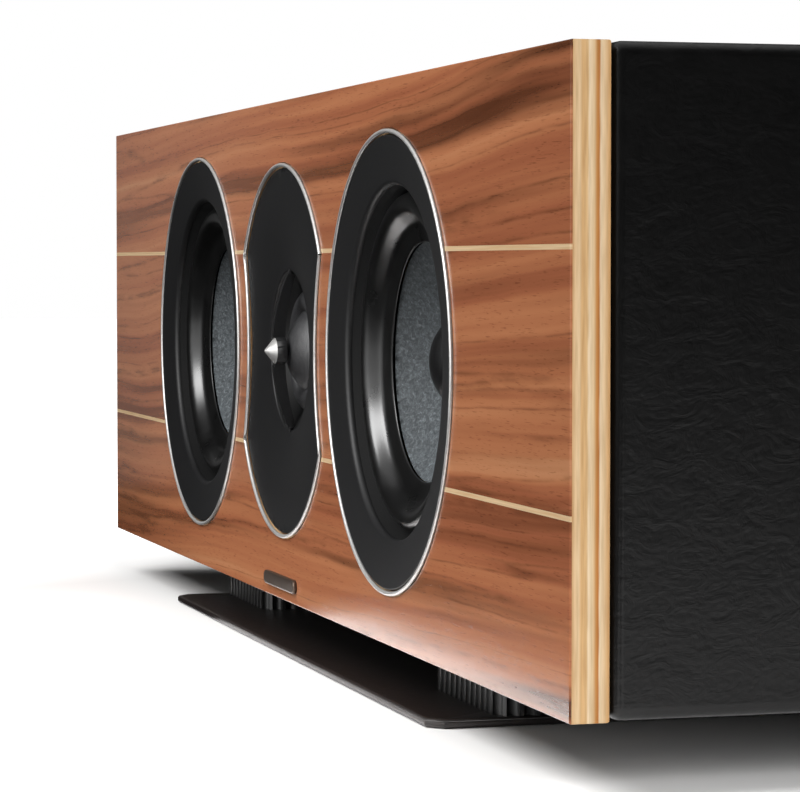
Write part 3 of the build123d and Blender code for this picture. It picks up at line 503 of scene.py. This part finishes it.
# %% Silk
silk = start("silk", "coated silk", Roughness=0.45, IOR=1.45, Specular_IOR_Level=0.7)
creases = add(silk, "ShaderNodeTexNoise", {"Vector": sized(silk, 0.7, 0.7, 0.7), "Scale": 1.0, "Detail": 4.0,
                                          "Roughness": 0.7, "Distortion": 1.0})
# the silk's own dark crease tones; the same name later holds the painted shade in the black plastic
tone_and_painted_shade = add(silk, "ShaderNodeValToRGB", {"Fac": creases.outputs["Fac"]}, [(0.3, "#18181A"), (0.7, "#323234")])
crumple = add(silk, "ShaderNodeBump",
              {"Height": creases.outputs["Fac"], "Strength": 0.7, "Distance": 0.25 * MM})
wear(silk, Base_Color=tone_and_painted_shade.outputs["Color"], Normal=crumple.outputs[0])
print(silk.name)

# %% [markdown]
# ## The plainer finishes
# The other finishes differ in colour, gloss and grain size, but each is the same kind of surface: a
# mottled ground with a fine grain that bends the light a little. A table holds what differs, and a
# loop makes them all. Where the real grain is too fine to show, it is drawn coarser.

# %% Plainer finishes
GRIT_H = 0.2 * MM
GLOSS_SPREAD = 0.06
PLAIN = [
    # slot, name, dark tone, light tone, grain in mm, metallic, roughness, specular level, bump
    # a thin pale line that fades at its ends
    ("bright_trim", "satin aluminium", "#B2B1AF", "#C4C3C1", 1.5, 0.55, 0.38, 0.5, 0.03),
    # dark grey where light falls on it, with no mirror
    ("black_plastic", "matt moulded ABS", "#0F0F10", "#161617", 0.6, 0.0, 0.5, 0.25, 0.12),
    # a black that hides behind the roll
    ("cast_frame", "powder-coated casting", "#070707", "#0C0C0C", 0.8, 0.0, 0.75, 0.1, 0.1),
    # a black ball with one soft highlight
    ("cap", "lacquered pulp cap", "#0C0C0D", "#161617", 1.2, 0.0, 0.33, 0.5, 0.06),
    # nearly black, and warm where it catches light
    ("stand_steel", "dark brown painted steel", "#140D0B", "#1D1411", 2.0, 0.0, 0.42, 0.4, 0.08),
    # black flutes with thin grey edges
    ("pillar", "black moulded plastic", "#0B0B0B", "#151515", 1.0, 0.0, 0.45, 0.4, 0.08),
    # a brown metal that shines a little
    ("dark_metal", "dark bronzed brass", "#3A322C", "#57493E", 1.2, 0.7, 0.42, 0.5, 0.1),
    # dry brown board with flecks
    ("mdf", "raw fibreboard", "#8E6F4D", "#B08F66", 1.0, 0.0, 0.85, 0.15, 0.3),
    # matt black that keeps the board's grit
    ("painted_board", "black painted fibreboard", "#101010", "#1A1A1A", 0.8, 0.0, 0.6, 0.3, 0.3),
    # cold grey metal with crisp lights
    ("steel", "zinc-plated steel", "#9A9B9D", "#C2C3C4", 1.8, 1.0, 0.34, 0.5, 0.05),
    # charcoal grey, like fired clay
    ("ferrite", "sintered ferrite", "#29292B", "#3A3A3D", 0.7, 0.0, 0.7, 0.3, 0.2),
    # orange metal, uneven from its turns
    ("copper", "enamelled copper wire", "#8E4A22", "#C27A45", 0.5, 1.0, 0.35, 0.5, 0.3),
    # a dry tan weave
    ("spider_cloth", "impregnated cotton cloth", "#8C6A22", "#B8933F", 0.8, 0.0, 0.8, 0.2, 0.4),
    # warm yellow metal with bright lights
    ("gold", "gilt brass", "#C79A3C", "#E3BE62", 1.5, 1.0, 0.24, 0.5, 0.03),
    # deep glossy red
    ("red_plastic", "clear red acrylic", "#6E0E10", "#98181A", 1.6, 0.0, 0.22, 0.4, 0.04),
    # deep glossy black
    ("post_black", "black acrylic", "#0E0E0F", "#19191A", 1.6, 0.0, 0.24, 0.4, 0.04),
    # a flat green sheet
    ("board", "green laminate", "#1B3F26", "#2B5A38", 1.2, 0.0, 0.5, 0.3, 0.05),
    # a smooth dull red wrap
    ("film", "wrapped polyester film", "#6A1D18", "#8A2C22", 2.5, 0.0, 0.35, 0.35, 0.06),
]
tones = {}
for slot, name, dark, light, grain_mm, metal, gloss, level, bump in PLAIN:
    finish = start(slot, name, Metallic=metal, Specular_IOR_Level=level)
    mottle = add(finish, "ShaderNodeTexNoise", {"Vector": sized(finish, grain_mm, grain_mm, grain_mm),
                                               "Scale": 1.0, "Detail": 4.0, "Roughness": 0.6})
    tones[slot] = add(finish, "ShaderNodeValToRGB", {"Fac": mottle.outputs["Fac"]},
                      [(0.3, dark), (0.7, light)]).outputs["Color"]
    sheen = add(finish, "ShaderNodeMapRange", {"Value": mottle.outputs["Fac"], "To Min": gloss - GLOSS_SPREAD,
                                              "To Max": gloss + GLOSS_SPREAD})
    grit = add(finish, "ShaderNodeBump",
               {"Height": mottle.outputs["Fac"], "Strength": bump, "Distance": GRIT_H})
    wear(finish, Base_Color=tones[slot], Roughness=sheen.outputs[0], Normal=grit.outputs[0])
print("finishes:", len(finishes))

# %% [markdown]
# ## Painted shade deep in the plastic
# Little light finds its way into the mouth of the tweeter plate and behind the lips of the dress
# rings. So shade is painted into the black plastic's colour: it darkens from 3 mm to 4 mm behind
# the veneer, and the painted shade ends at the back of the cabinet.

# %% Painted shade when deep
DEEP = 20 * MM
PAINTED_SHADE_FROM = 3.2 * MM
PAINTED_SHADE_AT = 4.0 * MM
PAINTED_SHADE_TO = 18.6 * MM
plastic = finishes["black_plastic"]
place = add(plastic, "ShaderNodeTexCoord")
split = add(plastic, "ShaderNodeSeparateXYZ", {0: place.outputs["Object"]})
deep = add(plastic, "ShaderNodeMapRange", {"Value": split.outputs["Y"], "From Min": FACE_Y,
                                           "From Max": FACE_Y + DEEP})
# painted shade: white keeps the plastic's tone, and #282828 darkens it where little light gets in
tone_and_painted_shade = add(plastic, "ShaderNodeValToRGB", {"Fac": deep.outputs[0]},
           [(PAINTED_SHADE_FROM / DEEP, "#FFFFFF"), (PAINTED_SHADE_AT / DEEP, "#282828"), (PAINTED_SHADE_TO / DEEP, "#282828"),
            (1.0, "#FFFFFF")])
# the painted shade multiplies the plastic's own mottled tone
plastic_with_painted_shade = add(plastic, "ShaderNodeMix", {0: 1.0, 6: tones["black_plastic"], 7: tone_and_painted_shade.outputs["Color"]},
           data_type="RGBA", blend_type="MULTIPLY")
wear(plastic, Base_Color=plastic_with_painted_shade.outputs[2])
print(plastic.name, "is darkest from", PAINTED_SHADE_AT, "m to", PAINTED_SHADE_TO, "m behind the veneer")

# %% [markdown]
# ## Dressing the CAD pieces
# Each node of the model names a slot, and each slot now has a finish, so one loop dresses them all.

# %% Dress the nodes
slot_of = {part["node"]: part["material_slot"] for part in frame["record"]["subparts"]}
for node, slot in slot_of.items():
    skin = frame["nodes"][node].data
    skin.materials.clear()
    skin.materials.append(finishes[slot])
print("dressed", len(slot_of), "nodes")

# %% [markdown]
# ## Standing in for a node
# A piece that is made here stands for a node of the model: it takes the node's finish, rides on the
# same body, and the node itself is hidden. One small function keeps that in one place.

# %% Stand-ins
body_of = {node: body for body, nodes in frame["record"]["behaviour"]["bodies"].items() for node in nodes}


def stand_in(piece, node):
    """Lets a finished rigid piece stand for a CAD node, with its finish and on its body."""
    piece.data.materials.clear()
    piece.data.materials.append(finishes[slot_of[node]])
    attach(piece, body_of[node])
    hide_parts(node)


print("bodies:", sorted(set(body_of.values())))

# %% [markdown]
# ## Smooth round faces
# The model's pieces arrive as loose flat triangles, which shows on satin curves as facets. So the
# pieces with round faces in view are copied, their triangles are joined up, and faces that meet at
# a small angle are shaded as one curve.

# %% Smooth copies
ROUND_NODES = ["leather_wrap", "stand_plate", "front_bar", "tweeter_plate", "tweeter_bridge", "port_tube",
               "terminal_plate", "post_red_knob", "post_black_knob", "post_red_stud", "post_black_stud"]
ROUND_NODES += [f"woofer_{side}_{piece}" for side in ("left", "right")
                for piece in ("frame", "cone", "dust_cap")]
SMOOTH_BELOW = radians(28)
for node in ROUND_NODES:
    smooth = frame["nodes"][node].copy()
    smooth.data = frame["nodes"][node].data.copy()
    smooth.parent = None
    smooth.name = f"{node}_smooth"
    bpy.context.collection.objects.link(smooth)
    bpy.ops.object.select_all(action="DESELECT")
    smooth.select_set(True)
    bpy.context.view_layer.objects.active = smooth
    bpy.ops.object.mode_set(mode="EDIT")
    bpy.ops.mesh.select_all(action="SELECT")
    bpy.ops.mesh.remove_doubles(threshold=0.002 * MM)
    bpy.ops.object.mode_set(mode="OBJECT")
    bpy.ops.object.shade_smooth_by_angle(angle=SMOOTH_BELOW)
    stand_in(smooth, node)
print("smoothed", len(ROUND_NODES), "pieces")

# %% [markdown]
# ## Drawing a line and spinning it
# The drivers' round pieces come from one idea: draw a line of points, one extruded from the last,
# and spin it about the driver's axis. A line that ends where it began gives a closed ring. Points
# are in millimetres from the middle of the tweeter, level with the veneer: across, back and up.

# %% Lines and spins
AXIS_Z = 111.5 * MM


def arc(mid_r, mid_depth, radius, first, last, steps=8):
    """Points along an arc of a section; 0 degrees faces outwards and 90 degrees forwards."""
    turns = [radians(first + (last - first) * i / steps) for i in range(steps + 1)]
    return [(mid_r + radius * cos(a), mid_depth - radius * sin(a)) for a in turns]


def drawn(name, points):
    """Draws a line through points given from the tweeter's middle."""
    bpy.ops.object.select_all(action="DESELECT")
    bpy.ops.mesh.primitive_plane_add(size=MM, location=(0, FACE_Y, AXIS_Z))
    piece = bpy.context.object
    piece.name = name
    bpy.ops.object.mode_set(mode="EDIT")
    bpy.ops.mesh.select_all(action="SELECT")
    bpy.ops.mesh.merge(type="CENTER")
    last = Vector((0, 0, 0))
    for i, spot in enumerate(points):
        point = Vector(spot) * MM
        if i == 0:
            bpy.ops.transform.translate(value=point)
        else:
            bpy.ops.mesh.extrude_region_move(TRANSFORM_OT_translate={"value": point - last})
        last = point
    bpy.ops.mesh.select_all(action="SELECT")
    bpy.ops.mesh.remove_doubles(threshold=0.001 * MM)
    bpy.ops.object.mode_set(mode="OBJECT")
    return piece


def spun(name, section, steps):
    """Spins a section of (radius, depth) points about the tweeter's axis."""
    piece = drawn(name, [(radius, depth, 0) for radius, depth in section])
    bpy.ops.object.mode_set(mode="EDIT")
    bpy.ops.mesh.select_all(action="SELECT")
    bpy.ops.mesh.spin(steps=steps, angle=2 * pi, center=piece.location, axis=(0, 1, 0))
    bpy.ops.mesh.select_all(action="SELECT")
    bpy.ops.mesh.remove_doubles(threshold=0.01 * MM)
    bpy.ops.mesh.normals_make_consistent(inside=False)
    bpy.ops.object.mode_set(mode="OBJECT")
    bpy.ops.object.transform_apply(location=True, rotation=True, scale=True)
    bpy.ops.object.shade_smooth_by_angle(angle=SMOOTH_BELOW)
    return piece


print("drivers' axes are", AXIS_Z, "m above the floor")

# %% [markdown]
# ## One for each woofer
# The two woofers are the same, so each of their pieces is made once, on the tweeter's axis, and
# copied. The piece goes to the left woofer and its copy, with a mesh of its own, to the right one.

# %% Left and right
WOOFER_OFF = 142.5
WOOFER_X = {"left": -WOOFER_OFF * MM, "right": WOOFER_OFF * MM}


def for_woofers(piece):
    """Moves a finished piece to the left woofer and a copy of it to the right one."""
    what = piece.name
    bpy.ops.object.duplicate()
    pair = {"left": piece, "right": bpy.context.object}
    for side, twin in pair.items():
        bpy.ops.object.select_all(action="DESELECT")
        twin.select_set(True)
        bpy.context.view_layer.objects.active = twin
        twin.name = f"woofer_{side}_{what}"
        twin.location.x = WOOFER_X[side]
        bpy.ops.object.transform_apply(location=True, rotation=True, scale=True)
    return pair


print("woofers at x =", [round(x, 4) for x in WOOFER_X.values()])

# %% [markdown]
# ## Dress rings
# A moulded ring covers each woofer's frame: it slopes in from the bright trim and ends in a rounded
# lip over the rubber. Its section is a short list of points with an arc for the lip, so a spin gives
# the whole ring.

# %% Dress rings
lip = arc(59.0, 3.526, 2.0, 98.4, 180.0)
DRESS = [(72.9, 4.0), (72.9, -0.2), (72.8, -0.4), (72.6, -0.5), (68.0, 0.18), (63.0, 0.92), *lip, (57.0, 4.0),
         (72.9, 4.0)]
for side, ring in for_woofers(spun("dress_ring_turned", DRESS, steps=128)).items():
    stand_in(ring, f"woofer_{side}_dress_ring")
    print(ring.name, len(ring.data.polygons), "faces")

# %% [markdown]
# ## The tip before the dome
# A small bright cone stands on the tweeter's bridge with its point to the listener, and guides the
# sound of the dome. It is made as on a lathe: half its outline is drawn and spun.

# %% Tip
TIP = [(0.0, -2.5), (4.7, -2.5), (4.82, -2.6), (3.7, -3.5), (2.6, -4.43), (1.5, -5.37), (0.5, -6.22),
       (0.3, -6.3), (0.0, -6.3)]
tip = spun("tweeter_tip_turned", TIP, steps=48)
stand_in(tip, "tweeter_tip")
print(tip.name, len(tip.data.polygons), "faces")

# %% [markdown]
# ## Bright beads
# The trims are half-round beads let into the panel. Round each woofer the bead is a circle. Round
# the tweeter plate it follows the disc, and along each side a hollow curve about the woofer beside
# it. The line is drawn, turned into a curve that is given a round section, and made a mesh again.

# %% Trim beads
BEAD_R = 0.7
BEAD_DEPTH = -0.35
TRIM_R = 74.2


def bead(name, path):
    """A round bead along a closed (across, up) path."""
    drawn(name, [(x, BEAD_DEPTH, z) for x, z in path])
    bpy.ops.object.convert(target="CURVE")
    piece = bpy.context.object
    piece.data.bevel_depth = BEAD_R * MM
    piece.data.bevel_resolution = 5
    bpy.ops.object.convert(target="MESH")
    piece = bpy.context.object
    bpy.ops.object.transform_apply(location=True, rotation=True, scale=True)
    bpy.ops.object.shade_smooth()
    return piece


def round_path(mid, radius, first, last, steps):
    """Points along a circle's arc as the panel is seen from the front."""
    turns = [radians(first + (last - first) * i / steps) for i in range(steps + 1)]
    return [(mid + radius * cos(a), radius * sin(a)) for a in turns]


for side, trim in for_woofers(bead("trim_bead", round_path(0.0, TRIM_R, 0, 360, 128))).items():
    stand_in(trim, f"woofer_{side}_trim_ring")
    print(trim.name, len(trim.data.polygons), "faces")

# %% [markdown]
# ## The tweeter's waisted bead
# Four arcs make this path: the disc above and below, and a hollow at each side whose middle is the
# woofer's. They meet at corners, whose angles are seen once from the disc and once from the woofer.

# %% Waisted bead
DISC_R = 67.65
HOLLOW_R = 91.45
CORNER = 31.04
BEND = 22.43
waisted = round_path(0.0, DISC_R, CORNER, 180 - CORNER, 64)
waisted += round_path(-WOOFER_OFF, HOLLOW_R, BEND, -BEND, 32)
waisted += round_path(0.0, DISC_R, 180 + CORNER, 360 - CORNER, 64)
waisted += round_path(WOOFER_OFF, HOLLOW_R, 180 + BEND, 180 - BEND, 32)
trim = bead("tweeter_trim_bead", waisted)
stand_in(trim, "tweeter_trim")
print(trim.name, len(trim.data.polygons), "faces")

# %% [markdown]
# ## Soft pieces that move with the sound
# Three kinds of piece bend whenever the loudspeaker plays: the rubber rolls round the cones, the
# cloth spiders behind them and the silk dome. Each is a thin spun sheet that gets its thickness,
# and a subdivision rounds it. Its outer edge is glued to the frame and its inner edge to what
# moves, so each point takes a share of the motion that follows its radius.

# %% Soft sheets
def thickened(piece, thickness):
    """Gives a spun sheet its wall, half to each side, and rounds it."""
    wall = piece.modifiers.new("wall", "SOLIDIFY")
    wall.thickness = thickness * MM
    wall.offset = 0.0
    bpy.ops.object.modifier_apply(modifier=wall.name)
    rounded = piece.modifiers.new("rounded", "SUBSURF")
    rounded.levels = 1
    rounded.render_levels = 1
    bpy.ops.object.modifier_apply(modifier=rounded.name)
    bpy.ops.object.shade_smooth()
    return piece


def move_with(piece, node, body, centre_x, still_r, moving_r):
    """Stands for a soft node, blended from the cabinet, at one radius, to a moving body, at the other."""
    piece.data.materials.append(finishes[slot_of[node]])
    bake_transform(piece, "cabinet", body, start=(centre_x, FACE_Y, AXIS_Z), end=(centre_x, FACE_Y + MM, AXIS_Z))
    weights = piece.data.attributes["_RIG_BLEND"].data
    for vertex in piece.data.vertices:
        radius = sqrt((vertex.co.x - centre_x) ** 2 + (vertex.co.z - AXIS_Z) ** 2) / MM
        t = min(max((still_r - radius) / (still_r - moving_r), 0.0), 1.0)
        weights[vertex.index].value = t * t * (3 - 2 * t)
    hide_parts(node)
    print(piece.name, len(piece.data.polygons), "faces")


print("soft nodes:", [node for node, slot in slot_of.items() if slot in ("rubber", "spider_cloth", "silk")])

# %% [markdown]
# ## Rubber rolls
# A roll lets the cone travel and still keeps the air in. Its section starts as a flange on the
# frame, goes over a half-round roll and comes down onto the edge of the cone, so two arcs and a few
# points draw it. The flange stays still and the inner edge goes with the cone.

# %% Rubber rolls
ROLL_STILL_R = 54.6
ROLL_CONE_R = 41.0
ROLL_T = 0.8
ROLL = [(56.6, 12.8), (55.2, 12.8), (ROLL_STILL_R, 12.3), (ROLL_STILL_R, 10.8)]
ROLL += arc(51.0, 9.4, 3.6, 0, 148, steps=9) + arc(42.63, 7.70, 4.4, -32, -76, steps=4)
ROLL += [(41.2, 12.6), (38.6, 13.25)]
for side, roll in for_woofers(thickened(spun("roll", ROLL, steps=96), ROLL_T)).items():
    move_with(roll, f"woofer_{side}_surround", f"woofer_{side}_diaphragm", WOOFER_X[side],
              still_r=ROLL_STILL_R, moving_r=ROLL_CONE_R)

# %% [markdown]
# ## Spiders
# Behind each cone a disc of stiffened cloth, pressed into waves, keeps the voice coil in the middle.
# A sine gives the waves, and a flat rim outside them is glued to the frame.

# %% Spiders
SPIDER_DEPTH = 37.75
SPIDER_IN_R = 13.4
SPIDER_FLAT_R = 30.5
SPIDER_RIM_R = 36.0
SPIDER_WAVES = 5
WAVE_H = 1.0
WAVE_STEPS = 40
CLOTH_T = 0.5
wavy = [(SPIDER_IN_R + (SPIDER_FLAT_R - SPIDER_IN_R) * i / WAVE_STEPS,
         SPIDER_DEPTH - WAVE_H * sin(2 * pi * SPIDER_WAVES * i / WAVE_STEPS)) for i in range(WAVE_STEPS + 1)]
cloth = spun("spider_cloth", [*wavy, (SPIDER_RIM_R, SPIDER_DEPTH)], steps=48)
for side, spider in for_woofers(thickened(cloth, CLOTH_T)).items():
    move_with(spider, f"woofer_{side}_spider", f"woofer_{side}_diaphragm", WOOFER_X[side],
              still_r=SPIDER_FLAT_R, moving_r=SPIDER_IN_R)

# %% [markdown]
# ## The silk dome
# The dome is a shallow cap of silk with a small roll round it, glued down at its rim. The cap is
# part of a sphere, worked out from its radius and its height, and a few points draw the roll.

# %% Silk dome
DOME_R = 14.5
DOME_APEX = 2.05
DOME_RIM = 9.15
DOME_STILL_R = 21.5
DOME_T = 0.3
ARC_STEPS = 12
rise = DOME_RIM - DOME_APEX
bulge = (DOME_R ** 2 + rise ** 2) / (2 * rise)
crown = [(DOME_R * i / ARC_STEPS, DOME_APEX + bulge - sqrt(bulge ** 2 - (DOME_R * i / ARC_STEPS) ** 2))
         for i in range(ARC_STEPS + 1)]
hem = [(15.4, 8.0), (16.9, 7.3), (18.6, 7.2), (20.2, 7.75), (21.3, 8.8), (21.7, DOME_RIM), (23.8, DOME_RIM)]
dome = thickened(spun("tweeter_silk_dome", crown + hem, steps=64), DOME_T)
move_with(dome, "tweeter_dome", "tweeter_coil", 0.0, still_r=DOME_STILL_R, moving_r=DOME_R)
